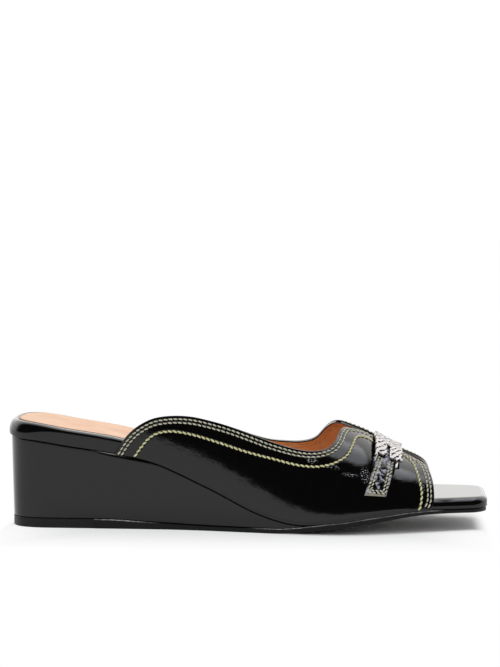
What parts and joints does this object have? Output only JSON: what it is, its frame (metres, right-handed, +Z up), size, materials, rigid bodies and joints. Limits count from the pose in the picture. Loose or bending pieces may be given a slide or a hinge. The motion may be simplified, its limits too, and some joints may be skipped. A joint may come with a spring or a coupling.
{
  "type": "open-toe wedge mule",
  "caption": "Open-back, open-toe wedge mule with a notched patent upper, strap tabs, an engraved plate buckle and contrast stitching, for the right foot.",
  "frame": {"origin": "on the floor, under the middle of the shoe's length and width", "axes": "+X to the toe, +Z up, the outer side of the foot is -Y"},
  "size_m": [0.24, 0.0832, 0.0571],
  "materials": {
    "lift_rubber": "satin black",
    "outsole_rubber": "satin black",
    "wedge_patent": "black patent leather over the wedge",
    "footbed_patent": "black patent leather over the insole board",
    "sock_kid": "smooth peach kid",
    "upper_patent": "glossy black patent leather with pale stitching and a tan lining",
    "strap_patent": "glossy black patent leather with pale stitching",
    "buckle_silver": "engraved silver plate"
  },
  "bodies": {
    "root": {"heel_lift": "lift_rubber", "outsole": "outsole_rubber", "wedge": "wedge_patent", "footbed": "footbed_patent", "sock": "sock_kid", "upper": "upper_patent", "strap_outer": "strap_patent", "strap_inner": "strap_patent", "buckle": "buckle_silver"}
  },
  "joints": []
}
